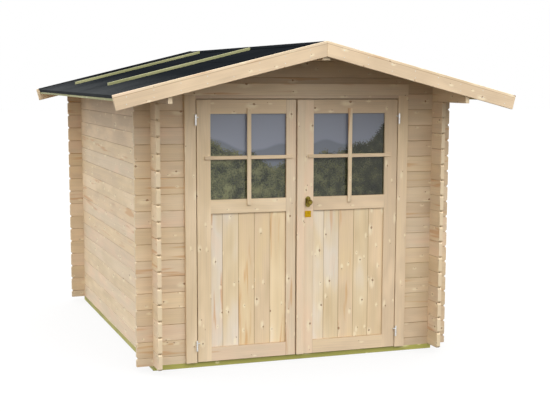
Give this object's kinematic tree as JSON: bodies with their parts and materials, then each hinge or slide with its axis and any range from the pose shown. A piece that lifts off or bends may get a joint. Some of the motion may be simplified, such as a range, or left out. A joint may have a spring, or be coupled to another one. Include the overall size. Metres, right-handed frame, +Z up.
{
  "type": "garden shed",
  "caption": "Small interlocking-log garden shed with a low felt-covered gable roof on a deep front overhang, and half-glazed double doors that open outwards.",
  "frame": {"origin": "on the ground, under the middle of the roof's outline", "axes": "+Z up; +Y from the door front towards the back; +X to the right for someone who faces the doors"},
  "size_m": [2.87, 3.5, 2.272],
  "materials": {
    "treated_beams": "rough sawn, pressure treated",
    "floor_wood": "planed",
    "wall_logs": "planed, untreated spruce",
    "purlin_wood": "planed",
    "roof_boards": "planed",
    "roofing_felt": "mineral-surfaced bitumen felt",
    "treated_battens": "rough sawn, pressure treated",
    "barge_wood": "planed",
    "frame_wood": "planed",
    "leaf_wood": "planed",
    "panel_wood": "planed boards",
    "pane": "clear",
    "hinge_steel": "zinc plated",
    "old_brass": "browned",
    "key_brass": "polished"
  },
  "bodies": {
    "shed": {"base_beam_front": "treated_beams", "base_beam_back": "treated_beams", "base_beam_left": "treated_beams", "base_beam_right": "treated_beams", "floor_bearers": "treated_beams", "floor_boards": "floor_wood", "front_wall_left": "wall_logs", "front_wall_right": "wall_logs", "front_gable_wall": "wall_logs", "back_wall": "wall_logs", "left_wall": "wall_logs", "right_wall": "wall_logs", "ridge_purlin": "purlin_wood", "eave_purlin_left": "purlin_wood", "eave_purlin_right": "purlin_wood", "roof_deck_left": "roof_boards", "roof_deck_right": "roof_boards", "roof_felt_left": "roofing_felt", "roof_felt_right": "roofing_felt", "eave_strip_left": "treated_battens", "eave_strip_right": "treated_battens", "felt_battens_left": "treated_battens", "felt_battens_right": "treated_battens", "barge_board_front_left": "barge_wood", "barge_board_front_right": "barge_wood", "barge_board_back_left": "barge_wood", "barge_board_back_right": "barge_wood", "door_frame_left": "frame_wood", "door_frame_right": "frame_wood", "door_frame_head": "frame_wood", "door_threshold": "frame_wood", "hinge_posts_left": "hinge_steel", "hinge_posts_right": "hinge_steel"},
    "left_door": {"left_leaf_frame": "leaf_wood", "left_leaf_panel": "panel_wood", "left_leaf_glass": "pane", "left_leaf_hinges": "hinge_steel"},
    "right_door": {"right_leaf_frame": "leaf_wood", "right_leaf_panel": "panel_wood", "right_leaf_glass": "pane", "right_leaf_hinges": "hinge_steel", "cover_strip": "leaf_wood", "knob_plate": "old_brass", "key_plate": "key_brass"},
    "knob": {"door_knob": "old_brass"}
  },
  "joints": [
    {"name": "left_door_hinge", "type": "hinge", "parent": "shed", "child": "left_door", "pos_m": [-0.766, -1.252, 0.161], "axis": [0, 0, -1], "range_deg": [0, 120]},
    {"name": "right_door_hinge", "type": "hinge", "parent": "shed", "child": "right_door", "pos_m": [0.766, -1.252, 0.161], "axis": [0, 0, 1], "range_deg": [0, 120]},
    {"name": "knob_turn", "type": "hinge", "parent": "right_door", "child": "knob", "pos_m": [0.062, -1.24, 1.153], "axis": [0, -1, 0], "range_deg": [-45, 45], "stiffness_Nm_per_rad": 0.3}
  ]
}
